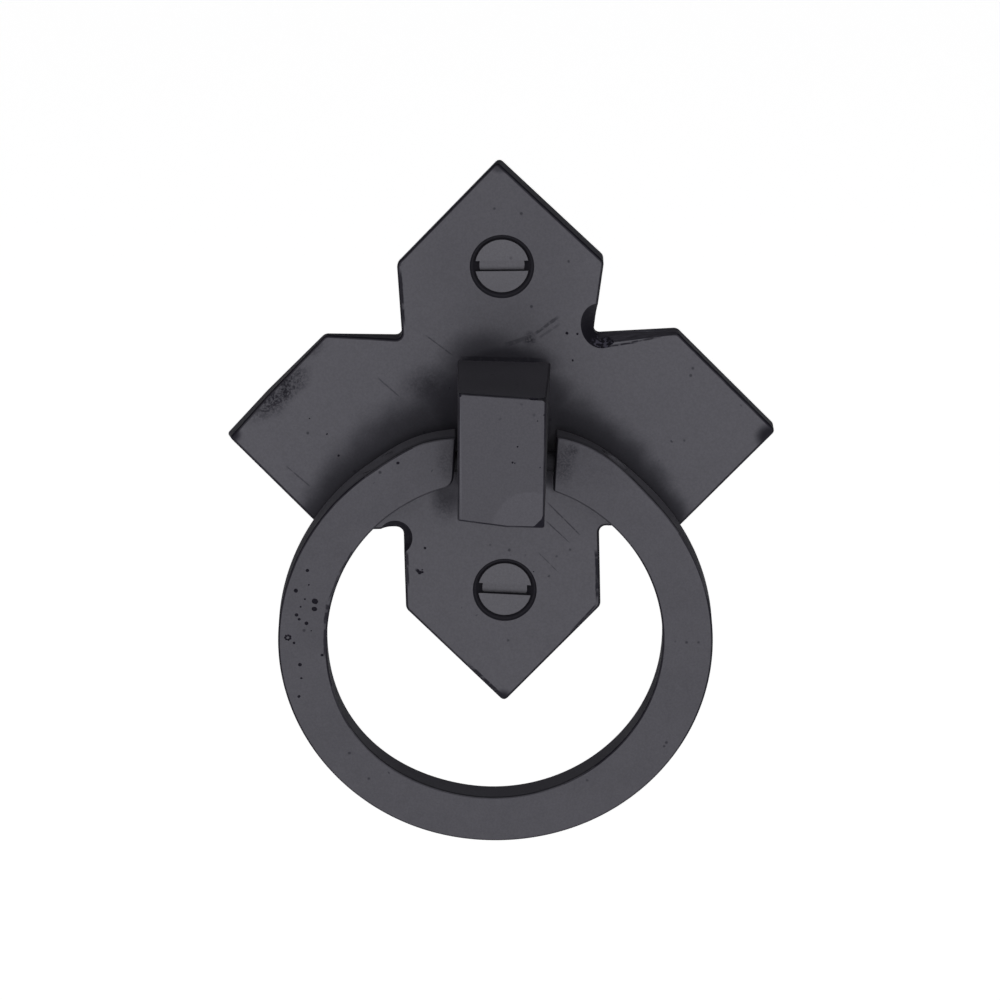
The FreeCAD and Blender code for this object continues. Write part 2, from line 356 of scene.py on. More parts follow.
def add_cone(bm, x, z, y_from, y_to, r_from, r_to, segments=64):
    """Add a closed cone or cylinder along Y to a bmesh."""
    place = Matrix.Translation((x, (y_from + y_to) / 2, z)) @ Matrix.Rotation(math.radians(-90), 4, "X")
    bmesh.ops.create_cone(
        bm, cap_ends=True, segments=segments, radius1=r_from, radius2=r_to, depth=y_to - y_from, matrix=place)


def add_rod(bm, radius, length, place):
    """Add a closed cylinder along the X axis of a place, about its origin."""
    matrix = place @ Matrix.Rotation(math.radians(90), 4, "Y")
    bmesh.ops.create_cone(
        bm, cap_ends=True, segments=48, radius1=radius, radius2=radius, depth=length, matrix=matrix)


def add_box(bm, size, place):
    bmesh.ops.create_cube(bm, size=1, matrix=place @ Matrix.Diagonal((*size, 1)))


def add_pits(bm, pits, place, seed):
    """Add small lopsided balls, whose mouths lie on the plane Y = 0 of place."""
    draw = random.Random(seed)
    for x, z, radius in pits:
        ball, sunk = 1.25 * (radius * MM), 0.75 * (radius * MM)
        turn = Matrix.Rotation(draw.uniform(0, 2 * math.pi), 4, "Y")
        squash = Matrix.Diagonal((draw.uniform(0.85, 1.2), draw.uniform(0.9, 1.1), 1, 1))
        at = place @ Matrix.Translation((x * MM, -sunk, z * MM)) @ turn @ squash
        bmesh.ops.create_icosphere(bm, subdivisions=2, radius=ball, matrix=at)


def settle(piece):
    """Apply a piece's modifiers."""
    graph = bpy.context.evaluated_depsgraph_get()
    made = bpy.data.meshes.new_from_object(piece.evaluated_get(graph))
    old = piece.data
    piece.modifiers.clear()
    piece.data = made
    name = old.name
    bpy.data.meshes.remove(old)
    made.name = name


def combine(piece, bm, material, operation, use_self=False):
    """Cut a bmesh out of a piece or join it on. Its faces take the given material."""
    helper = finish_mesh(bm, "helper", [material])
    change = piece.modifiers.new("change", "BOOLEAN")
    change.operation = operation
    change.solver = "EXACT"
    change.use_self = use_self
    change.material_mode = "TRANSFER"
    change.object = helper
    settle(piece)
    discard(helper)


def subtract(piece, bm, material):
    bmesh.ops.recalc_face_normals(bm, faces=bm.faces)
    combine(piece, bm, material, "DIFFERENCE", use_self=True)


def smooth_rounds(piece):
    """Smooth shading on the rounded edges, with the flat faces kept flat."""
    piece.data.shade_smooth()
    piece.data.set_sharp_from_angle(angle=math.radians(34))
    normals = piece.modifiers.new("flat_faces", "WEIGHTED_NORMAL")
    normals.keep_sharp = True
    normals.weight = 100


def never(normal):
    return False


def mark_rounds(piece, is_flat, faces_the_light=never):
    """Keep, for the finish's painted edge shade, which faces belong to a rounded edge, and less so where they
    face the light.
    """
    mesh = piece.data
    rounded = mesh.attributes.new("rounded", "FLOAT", "FACE")
    for face in mesh.polygons:
        if not is_flat(face.normal):
            rounded.data[face.index].value = 0.5 if faces_the_light(face.normal) else 1.0


def give_slot(piece, slot, is_meant):
    """Give a slot's finish to those faces of the first slot whose normal is meant."""
    for face in piece.data.polygons:
        if face.material_index == 0 and is_meant(face.normal):
            face.material_index = slot


def finish_faces(piece, through, faces_the_light=never):
    """Share a flat piece's faces out among its slots, by how they lean from the way through it. The outer
    facets of rounded edges take the cavities' dark finish as painted shade, except where they face the light.
    """
    def is_flat(normal):
        return abs(normal.dot(through)) > FLAT_FACE or abs(normal.dot(through)) < FLAT_WALL

    mark_rounds(piece, is_flat, faces_the_light)
    give_slot(piece, 1, lambda normal: abs(normal.dot(through)) < NEARLY_WALL)
    give_slot(
        piece, 2, lambda normal: NEARLY_FACE < normal.dot(through) < -NEARLY_WALL and not faces_the_light(normal))
    smooth_rounds(piece)


# Backplate

def plate_outline(shape):
    """The corners (x, z), right round from the top tip, each with its small fault of hand filing."""
    half, reach = shape.arm_half_width, PLATE_REACH
    shoulder = reach - half
    corners = {
        "top_tip": (0, reach, 0.05, -0.1),
        "top_right_shoulder": (half, shoulder, 0.66, -0.27),
        "upper_right_root": (half, half, -0.64, -0.12),
        "right_upper_shoulder": (shoulder, half, -0.1, 0.32),
        "right_tip": (reach, 0, -0.1, 0.02),
        "right_lower_shoulder": (shoulder, -half, -0.1, 0),
        "lower_right_root": (half, -half, -0.1, 0.25),
        "low_right_shoulder": (half, -shoulder, 0.02, -0.08),
        "low_tip": (0, -reach, 0.06, -0.14),
        "low_left_shoulder": (-half, -shoulder, 0.1, -0.25),
        "lower_left_root": (-half, -half, -0.1, 0.1),
        "left_lower_shoulder": (-shoulder, -half, 0, -0.1),
        "left_tip": (-reach, 0, 0.06, -0.44),
        "left_upper_bend": (0, 0, -26.9, 4.7),
        "left_upper_shoulder": (-shoulder, half, 0.24, -0.02),
        "upper_left_root": (-half, half, 0.02, -0.2),
        "top_left_shoulder": (-half, shoulder, -0.5, -0.9),
    }
    return {name: (x + dx * MM, z + dz * MM) for name, (x, z, dx, dz) in corners.items()}


def corner_edges(bm, outline, word):
    """The edges, front to back, whose back end is a corner with this word in its name."""
    places = [place for name, place in outline.items() if word in name]
    found = []
    for edge in bm.edges:
        front, back = sorted((vert.co for vert in edge.verts), key=lambda co: co.y)
        near = any(math.hypot(back.x - x, back.z - z) < SAME_PLACE for x, z in places)
        if back.y - front.y > MM and near:
            found.append(edge)
    return found


def shift_face_corners(bm, outline):
    for name, (dx, dz) in FACE_SHIFT.items():
        x, z = outline[name]
        for vert in bm.verts:
            if lies_near(vert.co, x, FACE_Y, z):
                vert.co += Vector((dx * MM, 0, dz * MM))


def dug_corner(x, z, wide, tall, turn, drift):
    """An elliptical cone, wide at the plate's face, that drifts out of the corner towards the back."""
    bm = bmesh.new()
    add_cone(bm, 0, 0, FACE_Y, 0.2 * MM, 1, 0.3, segments=96)
    stretch = Matrix.Diagonal((wide * MM, 1, tall * MM, 1))
    place = Matrix.Translation((x * MM, 0, z * MM)) @ Matrix.Rotation(math.radians(turn), 4, "Y") @ stretch
    bmesh.ops.transform(bm, matrix=place, verts=bm.verts)
    far = [v for v in bm.verts if v.co.y > FACE_Y / 2]
    bmesh.ops.translate(bm, verts=far, vec=(drift[0] * MM, 0, drift[1] * MM))
    near = [v for v in bm.verts if v.co.y < FACE_Y / 2]
    bmesh.ops.translate(bm, verts=near, vec=(0, -0.1 * MM, 0))
    return bm


def long_bevel(left, right, back_left, size):
    """A block whose lower side is the plane through two points on the face and one at the back."""
    along = (right - left).normalized()
    up = along.cross(back_left - left).normalized()
    if up.z < 0:
        up = -up
    turn = Matrix((along, up.cross(along), up)).transposed().to_4x4()
    middle = left + along * (size.x / 2 - 0.3 * MM) + up * size.z / 2
    bm = bmesh.new()
    add_box(bm, size, Matrix.Translation(middle) @ turn)
    return bm


def screw_places():
    """The middle of each screw's head, from the CAD screws' boxes."""
    boxes = [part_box(node) for node in ("top_screw", "bottom_screw")]
    return [((low.x + high.x) / 2, (low.z + high.z) / 2) for low, high in boxes]


def sink_depth(shape, radius):
    """How deep the countersink is where it has narrowed to a radius."""
    return (shape.sink_radius - radius) / math.tan(shape.sink_half_angle)


def build_backplate(shape, face_metal, wall_metal, cavity_metal):
    outline = plate_outline(shape)
    bm = prism(outline.values(), FACE_Y, 0)
    shift_face_corners(bm, outline)
    to_side = math.tan(math.radians(22.5))
    corners = (
        ("root", shape.inner_round, 6), ("left_tip", shape.left_tip_round, 3), ("tip", shape.tip_round, 4),
        ("shoulder", shape.shoulder_round * to_side, 4))
    for word, size, segments in corners:
        round_off(bm, corner_edges(bm, outline, word), size, segments)
    round_off(bm, [e for e in bm.edges if lies_at_y(e, FACE_Y)], shape.front_round)
    round_off(bm, [e for e in bm.edges if lies_at_y(e, 0)], shape.back_round, segments=2)
    plate = finish_mesh(bm, "cast_backplate", [face_metal, wall_metal, cavity_metal])

    subtract(plate, dug_corner(11.43, 12.5, 2.25, 2.7, -12, (0.95, 0.45)), cavity_metal)
    subtract(plate, dug_corner(-12.35, -12.25, 2.05, 2.1, 0, (-0.75, -1.0)), cavity_metal)
    filed = long_bevel(
        Vector((11.6 * MM, FACE_Y, 10.4 * MM)), Vector((20.2 * MM, FACE_Y, 11.4 * MM)),
        Vector((11.6 * MM, -0.3 * MM, 11.28 * MM)), Vector((10.5 * MM, 9 * MM, 1.7 * MM)))
    subtract(plate, filed, wall_metal)

    # The cutters stand out of the plate at both sides.
    past = 0.3 * MM
    holes = bmesh.new()
    flare = past * math.tan(shape.sink_half_angle)
    deep = FACE_Y + sink_depth(shape, shape.hole_radius)
    for x, z in screw_places():
        add_cone(holes, x, z, FACE_Y - past, deep, shape.sink_radius + flare, shape.hole_radius)
        add_cone(holes, x, z, deep - 0.2 * MM, past, shape.hole_radius, shape.hole_radius)
    tenon_hole, depth = shape.tenon_hole_radius, shape.rivet_hole_depth
    add_cone(holes, POST_X, POST_Z, FACE_Y - past, past, tenon_hole, tenon_hole)
    spread = shape.rivet_hole_radius - tenon_hole
    widest = shape.rivet_hole_radius + spread * past / depth
    add_cone(holes, POST_X, POST_Z, -depth, past, tenon_hole, widest)
    subtract(plate, holes, wall_metal)

    spots = bmesh.new()
    add_pits(spots, PLATE_PITS, Matrix.Translation((0, FACE_Y, 0)), seed=4)
    subtract(plate, spots, cavity_metal)
    finish_faces(plate, Vector(BACK))
    return plate


# Post

def build_post(shape, metal, wall_metal, cavity_metal, side_metal):
    """A tapered block, with the corners of its front where the filing left them."""
    front = {name: (x * MM, z * MM) for name, (x, z, _, _) in POST_CORNERS.items()}
    bm = prism(front.values(), POST_FRONT_Y, FACE_Y)
    for x, z, root_x, root_z in POST_CORNERS.values():
        for vert in bm.verts:
            if lies_near(vert.co, x * MM, FACE_Y, z * MM):
                vert.co.x, vert.co.z = root_x * MM, root_z * MM
    rounded = [e for e in bm.edges if not lies_at_y(e, FACE_Y) and is_sharp(e)]
    round_off(bm, rounded, shape.edge_round)
    shallow, deep = 0.35 * MM, 1.2 * MM
    # The chip takes the cavities' finish, and the worn upper right corner the painted shade of the right
    # side.
    dress_corner(bm, front["low_right"], 1, shape.chip, shallow, 2)
    dress_corner(bm, front["top_right"], -1, shape.worn_corner, deep, 3)
    post = finish_mesh(bm, "square_post", [metal, wall_metal, cavity_metal, side_metal])

    marks = bmesh.new()
    face = Matrix.Translation((0, POST_FRONT_Y, 0))
    add_pits(marks, POST_PITS, face, seed=8)
    for x, z, half_length, half_height, turn in POST_NICKS:
        turned_nick = Matrix.Rotation(math.radians(turn), 4, "Y")
        stretch = Matrix.Diagonal((half_length, 0.25, half_height, 1))
        nick = face @ Matrix.Translation((x * MM, 0, z * MM)) @ turned_nick @ stretch
        bmesh.ops.create_icosphere(marks, subdivisions=2, radius=MM, matrix=nick)
    subtract(post, marks, cavity_metal)
    return post


def dress_corner(bm, corner, up, radius, depth, slot):
    """Take off a right front corner round an arc, with planes that run back to a depth at its edge."""
    centre = Vector((corner[0] - radius, POST_FRONT_Y, corner[1] + up * radius))
    lean = math.atan2(depth, radius * (math.sqrt(2) - 1))
    for angle in (20, 45, 70):
        turn = math.radians(angle)
        outwards = Vector((math.cos(turn), 0, -up * math.sin(turn)))
        normal = outwards * math.sin(lean) + Vector((0, -math.cos(lean), 0))
        plane_cut(bm, centre + outwards * radius, normal, slot)


def build_tenon(post, shape, metal):
    """Join the tenon and its riveted end to the post."""
    start, end = FACE_Y + 0.02 * MM, -shape.rivet_sunk
    rivet_start = -1.0 * MM
    spread = (shape.rivet_radius - shape.tenon_radius) / -rivet_start
    bm = bmesh.new()
    turned(bm, [
        (0, start), (shape.tenon_radius, start), (shape.tenon_radius, rivet_start),
        (shape.tenon_radius + spread * (end - rivet_start), end), (0, end),
    ], POST_X, POST_Z)
    combine(post, bm, metal, "UNION")


def bore_post(post, shape, metal):
    bm = bmesh.new()
    right_through = 30 * MM
    add_rod(bm, shape.bore_radius, right_through, Matrix.Translation(HINGE))
    subtract(post, bm, metal)


# Ring and hinge pin

def ring_place(shape):
    """From the ring's own frame, with its centre at the origin, to its place at rest."""
    drop = RING_RADIUS - shape.pin_to_rim
    hang = Matrix.Translation((RING_X, 0, -drop))
    return Matrix.Translation((0, HINGE.y, HINGE.z)) @ Matrix.Rotation(shape.lean, 4, "X") @ hang


def full_ring(shape):
    half = shape.thickness / 2
    inner = RING_RADIUS - shape.width
    bm = bmesh.new()
    section = [(inner, -half, 0), (RING_RADIUS, -half, 0), (RING_RADIUS, half, 0), (inner, half, 0)]
    spin_chain(bm, section, ORIGIN, BACK, shape.steps, closed=True)
    return bm


def file_unevenly(bm, shape):
    """Push the ring's inner and outer walls in and out by a tenth of a millimetre or two."""
    middle = RING_RADIUS - shape.width / 2
    for vert in bm.verts:
        x, z = vert.co.x, vert.co.z
        radius, angle = math.hypot(x, z), math.degrees(math.atan2(z, x))
        places = OUTER_FILING if radius > middle else INNER_FILING
        if radius > middle and vert.co.y < 0:
            places = OUTER_FILING + FRONT_FLARE
        push = sum(swell(angle, centre, reach) * amount * MM for centre, reach, amount in places)
        if radius < middle:
            push -= shape.inner_dip
        scale = (radius + push * shape.filing) / radius
        vert.co.x, vert.co.z = x * scale, z * scale


def swell(angle, centre, reach):
    """1 at the centre angle, falling smoothly to 0 at the reach on either side, in degrees."""
    away = abs((angle - centre + 180) % 360 - 180) / reach
    return 0.5 + 0.5 * math.cos(math.pi * away) if away < 1 else 0


def across_gap(shape):
    """The direction from the ring's left end to its right end."""
    return (Matrix.Rotation(shape.gap_turn, 4, "Y") @ Vector(RIGHT)).normalized()


def open_gap(bm, shape):
    """Cut the gap out of the ring's top with two parallel planes, and close its two ends."""
    across, half = across_gap(shape), shape.gap_width / 2
    for side in (-1, 1):
        top = [v for v in bm.verts if v.co.z > RING_RADIUS / 3]
        near = set(top)
        edges = [e for e in bm.edges if set(e.verts) <= near]
        faces = [f for f in bm.faces if set(f.verts) <= near]
        geom = top + edges + faces
        bmesh.ops.bisect_plane(
            bm, geom=geom, dist=SAME_PLACE / 10, plane_co=across * side * half, plane_no=across)
    inside = []
    for face in bm.faces:
        middle = face.calc_center_median()
        if middle.z > 0 and abs(middle.dot(across)) < half:
            inside.append(face)
    bmesh.ops.delete(bm, geom=inside, context="FACES")
    rim = [e for e in bm.edges if len(e.link_faces) == 1]
    bmesh.ops.holes_fill(bm, edges=rim, sides=0)
    bmesh.ops.recalc_face_normals(bm, faces=bm.faces)


def clear_rungs(bm, shape, reach):
    """Merge the narrow faces next to the ring's two ends, to make room for the rounding."""
    across, half = across_gap(shape), shape.gap_width / 2
    shortest = 0.35 * MM
    rungs = []
    for edge in bm.edges:
        a, b = (v.co for v in edge.verts)
        same_turn = abs(math.atan2(a.z, a.x) - math.atan2(b.z, b.x)) < 0.001
        near, far = sorted(abs(point.dot(across)) - half for point in (a, b))
        whole = SAME_PLACE < near < reach
        cut_short = SAME_PLACE < far < shortest
        if a.z > 0 and same_turn and (whole or cut_short):
            rungs.append(edge)
    bmesh.ops.dissolve_edges(bm, edges=rungs, use_verts=True)


def worn_corner_edges(bm, shape):
    """The edge, front to back, at the lower corner of the left end."""
    across, half = across_gap(shape), shape.gap_width / 2
    found = []
    for edge in bm.edges:
        a, b = (v.co for v in edge.verts)
        middle = (a + b) / 2
        at_left_end = abs(middle.dot(across) + half) < 0.01 * MM
        low = math.hypot(middle.x, middle.z) < RING_RADIUS - shape.width / 2
        if math.hypot(a.x - b.x, a.z - b.z) < SAME_PLACE and at_left_end and low and middle.z > 0:
            found.append(edge)
    return found


def build_ring(shape, metal, wall_metal, cavity_metal):
    bm = full_ring(shape)
    file_unevenly(bm, shape)
    open_gap(bm, shape)
    clear_rungs(bm, shape, 1.6 * shape.worn_corner)
    round_off(bm, worn_corner_edges(bm, shape), shape.worn_corner, segments=5)
    round_off(bm, [e for e in bm.edges if is_sharp(e)], shape.edge_round)
    place = ring_place(shape)
    bmesh.ops.transform(bm, matrix=place, verts=bm.verts)
    ring = finish_mesh(bm, "open_ring", [metal, wall_metal, cavity_metal])

    push_fit = 0.02 * MM
    bore = bmesh.new()
    pin_place = place @ Matrix.Translation((0, 0, RING_RADIUS - shape.pin_to_rim))
    add_rod(bore, shape.pin_radius + push_fit, 3 * RING_RADIUS, pin_place)
    subtract(ring, bore, wall_metal)

    circle = [math.radians(30 + 51 * step) for step in range(7)]
    circle_pits = [(-23.83 + 0.3 * math.cos(turn), 0.55 + 0.27 * math.sin(turn), 0.15) for turn in circle]
    spots = bmesh.new()
    face = place @ Matrix.Translation((0, -shape.thickness / 2, 0))
    add_pits(spots, [*RING_PITS, *circle_pits], face, seed=11)
    subtract(ring, spots, cavity_metal)

    # Facets that face up or down, or right and up, catch the light, so they get less of the painted edge
    # shade and keep the ring's own finish.
    def faces_the_light(normal):
        side, up = (part / math.hypot(normal.x, normal.z) for part in (normal.x, normal.z))
        return abs(up) > 0.75 or side > 0 and up > 0.1

    finish_faces(ring, place.to_3x3() @ Vector(BACK), faces_the_light)
    return ring


def build_pin(shape, metal, end_metal):
    """A cylinder through both ends of the ring, its ends dressed off along the ring's rim."""
    bm = bmesh.new()
    height = RING_RADIUS - shape.pin_to_rim
    add_rod(bm, shape.pin_radius, 2 * RING_RADIUS, Matrix.Translation((0, 0, height)))
    reach = math.sqrt(RING_RADIUS ** 2 - height ** 2)
    for way in (-1, 1):
        outwards = Vector((way * reach, 0, height)).normalized()
        plane_cut(bm, outwards * (RING_RADIUS - shape.pin_sunk), outwards, 1)
    bmesh.ops.recalc_face_normals(bm, faces=bm.faces)
    bmesh.ops.transform(bm, matrix=ring_place(shape), verts=bm.verts)
    pin = finish_mesh(bm, "hinge_pin", [metal, end_metal])
    smooth_rounds(pin)
    return pin


# Screws

def build_screw(name, place, slot_turn, shape, plate_shape, metal, wall_metal):
    """A slotted countersunk wood screw with a cut thread and a tapered point."""
    x, z = place
    head, shank, root = shape.head_radius, shape.shank_radius, shape.root_radius
    seat = FACE_Y + sink_depth(plate_shape, head) - shape.seat_gap
    top = seat - shape.head_rim
    neck = seat + (head - shank) / math.tan(plate_shape.sink_half_angle)
    tip = top + shape.length
    point = tip - shape.point_length
    soft = 0.08 * MM
    bm = bmesh.new()
    profile = [
        (0, top), (head - soft, top), (head, top + soft), (head, seat), (shank, neck), (shank, 0.2 * MM),
        (root, 0.7 * MM), (root, point), (0, tip),
    ]
    turned(bm, profile, x, z, steps=72)
    screw = finish_mesh(bm, name, [metal, wall_metal])

    cutter = bmesh.new()
    turn = Matrix.Rotation(-slot_turn, 4, "Y")
    size = (3 * head, 2 * shape.slot_depth, shape.slot_width)
    add_box(cutter, size, Matrix.Translation((x, top, z)) @ turn)
    subtract(screw, cutter, metal)
    cut_thread(screw, shape, x, z, point, tip, metal)
    mark_rounds(screw, lambda normal: abs(normal.y) > 0.985 or abs(normal.y) < 0.3)
    give_slot(screw, 1, lambda normal: abs(normal.y) < 0.3 or normal.y > 0.3)
    smooth_rounds(screw)
    return screw


def cut_thread(screw, shape, x, z, point, tip, metal):
    """A ridge that winds along the core and shrinks with the point."""
    steps, start = 40, 0.6 * MM
    half, blunt = 0.42 * shape.pitch, 0.04 * MM
    thinnest, shallowest = 0.97, 0.15
    foot, crest = shape.root_radius - 0.05 * MM, shape.crest_radius
    bm = bmesh.new()
    section = [(foot, -half), (crest, -blunt), (crest, blunt), (foot, half)]
    face = bm.faces.new([bm.verts.new((x + radius, start + y, z)) for radius, y in section])
    count = round((tip - start) / shape.pitch * steps)
    bmesh.ops.spin(
        bm, geom=[face], cent=(x, 0, z), axis=BACK, dvec=(0, shape.pitch / steps, 0),
        angle=2 * math.pi * count / steps, steps=count, use_merge=False)
    for vert in bm.verts:
        way = Vector((vert.co.x - x, 0, vert.co.z - z))
        at_point = min(max((vert.co.y - point) / (tip - point), 0), thinnest)
        lead_in = min(max((vert.co.y - start) / (2 * shape.pitch), 0), 1)
        depth = (way.length - foot) * (shallowest + (1 - shallowest) * lead_in)
        radius = (foot + depth) * (1 - at_point)
        vert.co = Vector((x, min(vert.co.y, tip - 0.02 * MM), z)) + way.normalized() * radius
    bmesh.ops.recalc_face_normals(bm, faces=bm.faces)
    ridge = finish_mesh(bm, "ridge", [metal])
    joined = bmesh.new()
    joined.from_mesh(screw.data)
    joined.from_mesh(ridge.data)
    joined.to_mesh(screw.data)
    joined.free()
    discard(ridge)


# Values in a node tree. A node is added after those that feed it, and a mark links no number to a
# vector: Cycles works nodes out in the order they came, and runs out of room on a long material if
# it has to put one off.

class Value:
    """A node's output. Arithmetic on it adds the nodes that work out the result."""

    def __init__(self, socket):
        self.socket = socket
        self.tree = socket.id_data

    def __add__(self, other):
        return maths("ADD", self, other)

    def __sub__(self, other):
        return maths("SUBTRACT", self, other)

    def __rsub__(self, other):
        return maths("SUBTRACT", other, self)

    def __mul__(self, other):
        return maths("MULTIPLY", self, other)

    def __truediv__(self, other):
        return maths("DIVIDE", self, other)


def add_node(tree, kind, **settings):
    node = tree.nodes.new(kind)
    for name, value in settings.items():
        setattr(node, name, value)
    return node


def feed(sockets, *values, **named):
    """Link or set the first sockets, and those whose names are given."""
    for key, value in [*enumerate(values), *named.items()]:
        if isinstance(value, Value):
            value.tree.links.new(value.socket, sockets[key])
        else:
            sockets[key].default_value = value


def result(kind, values, out=0, **settings):
    """An output of a new node that is fed with numbers and values."""
    tree = next(value.tree for value in values if isinstance(value, Value))
    node = add_node(tree, kind, **settings)
    feed(node.inputs, *values)
    return Value(node.outputs[out])


def maths(operation, *values, clamp=False):
    return result("ShaderNodeMath", values, operation=operation, use_clamp=clamp)


def vectors(operation, *values):
    gives_number = operation in ("DOT_PRODUCT", "LENGTH", "DISTANCE")
    return result("ShaderNodeVectorMath", values, out=int(gives_number), operation=operation)


def maximum(*values):
    return maths("MAXIMUM", *values)


def dot(at, direction):
    return vectors("DOT_PRODUCT", at, direction)


def noise(at, scale, detail=3.0, roughness=0.5):
    node = add_node(at.tree, "ShaderNodeTexNoise")
    feed(node.inputs, at, Scale=scale, Detail=detail, Roughness=roughness)
    return Value(node.outputs["Fac"])


def band(value, low, high, to_low=0.0, to_high=1.0):
    """Map a value from one band to another, smoothly and without running past its ends."""
    values = (value, low, high, to_low, to_high)
    return result("ShaderNodeMapRange", values, interpolation_type="SMOOTHSTEP", clamp=True)


def shared_group(name, inputs, outputs):
    """Make a function on values a node group, built at its first use and placed in a tree at each."""
    def wrap(work_out):
        def build():
            group = bpy.data.node_groups.new(name, "ShaderNodeTree")
            for label, default in inputs.items():
                kind = "NodeSocketVector" if isinstance(default, tuple) else "NodeSocketFloat"
                socket = group.interface.new_socket(name=label, in_out="INPUT", socket_type=kind)
                socket.default_value = default
            for label in outputs:
                group.interface.new_socket(name=label, in_out="OUTPUT", socket_type="NodeSocketFloat")
            given, out = add_node(group, "NodeGroupInput"), add_node(group, "NodeGroupOutput")
            feed(out.inputs, *work_out(*(Value(given.outputs[label]) for label in inputs)))
            return group

        def place(at, *values):
            group = bpy.data.node_groups.get(name) or build()
            node = add_node(at.tree, "ShaderNodeGroup", node_tree=group)
            feed(node.inputs, at, *values)
            placed = [Value(node.outputs[label]) for label in outputs]
            return placed if len(placed) > 1 else placed[0]

        return place
    return wrap


# Finishes

@shared_group("cast_skin", {"Vector": ORIGIN, "Seed": 0.0, "Speck Amount": 0.5}, ("Cloud", "Grain", "Specks"))
def cast_skin(at, seed, speck_amount):
    """Cloudy tone, fine grain and sparse specks of a blackened casting."""
    shifted = vectors("ADD", at, seed)
    blended = noise(shifted, 120.0, detail=4.0, roughness=0.55) * 0.65 + noise(shifted, 620.0) * 0.35
    grain = noise(shifted, 4200.0, detail=2.0, roughness=0.6)
    cells = add_node(at.tree, "ShaderNodeTexVoronoi", feature="F1")
    feed(cells.inputs, shifted, Scale=620.0)
    chosen = maths("GREATER_THAN", noise(shifted, 300.0, detail=1.0), 0.58)
    small = band(Value(cells.outputs["Distance"]), 0.16, 0.06)
    return band(blended, 0.3, 0.7), grain, chosen * small * speck_amount


@shared_group("scratch_and_shade_line", {"Vector": ORIGIN, "Start": ORIGIN, "End": ORIGIN, "Width": 0.1 * MM}, ("Mark",))
def scratch_and_shade_line(at, start, end, width):
    """One dark line from start to end, thinning out at its ends and broken along the way, used for scratches
    and for lines of painted shade.
    """
    line, reach = vectors("SUBTRACT", end, start), vectors("SUBTRACT", at, start)
    share = maths("DIVIDE", dot(reach, line), dot(line, line), clamp=True)
    nearest = add_node(at.tree, "ShaderNodeVectorMath", operation="SCALE")
    feed(nearest.inputs, line, Scale=share)
    away = vectors("DISTANCE", reach, Value(nearest.outputs[0]))
    thin = away - noise(at, 900.0, detail=2.0) * width
    fade = band(share, 0.0, 0.15) * band(share, 1.0, 0.8)
    broken = band(noise(at, 1500.0, detail=1.0), 0.3, 0.45, 0.35, 1.0)
    return [band(thin, width * 0.5, 0.0) * fade * broken]


@shared_group(
    "smudge_and_shade_patch", {"Vector": ORIGIN, "Centre": ORIGIN, "Stretch": (1, 1, 1), "Turn": 0.0, "Radius": 2 * MM},
    ("Patch",))
def smudge_and_shade_patch(at, centre, stretch, turn, radius):
    """A speckled dark patch about a centre, with a ragged border, used for smudged dirt and for painted
    shade.
    """
    offset = vectors("SUBTRACT", at, centre)
    spin = add_node(at.tree, "ShaderNodeVectorRotate", rotation_type="Y_AXIS")
    feed(spin.inputs, offset, Angle=turn)
    away = vectors("LENGTH", vectors("MULTIPLY", Value(spin.outputs[0]), stretch))
    near = band(away / radius, 1.0, 0.25)
    speckle = band(noise(at, 4200.0, roughness=0.7), 0.38, 0.6, 0.25, 1.0)
    ragged = band(noise(at, 900.0, detail=2.0), 0.3, 0.55, 0.45, 1.0)
    return [near * speckle * ragged]


@shared_group(
    "soft_patch", {"Vector": ORIGIN, "Centre": ORIGIN, "Half Size": (1, 1, 1), "Inner": 0.45, "Outer": 1.2},
    ("Patch",))
def soft_patch(at, centre, size, inner, outer):
    """A patch: 1 within the inner share of its half size, 0 beyond the outer share."""
    offset = vectors("DIVIDE", vectors("SUBTRACT", at, centre), size)
    cloud = band(noise(at, 260.0), 0.3, 0.7, -0.05, 0.05)
    return [band(vectors("LENGTH", offset) + cloud, outer, inner)]


@shared_group("edge_painted_shade", {"Vector": ORIGIN, "Amount": 0.7}, ("Shade",))
def edge_painted_shade(at, amount):
    """Painted shade along a rounded edge, broken up here and there."""
    edge = Value(add_node(at.tree, "ShaderNodeAttribute", attribute_name="rounded").outputs["Fac"])
    return [edge * band(noise(at, 500.0, detail=2.0), 0.3, 0.6, 0.75, 1.0) * amount]


def patch(at, x, z, wide, tall, *limits):
    """A soft patch on the object's XZ plane, from millimetres, whatever the depth."""
    return soft_patch(at, (x * MM, 0, z * MM), (wide * MM, 1, tall * MM), *limits)


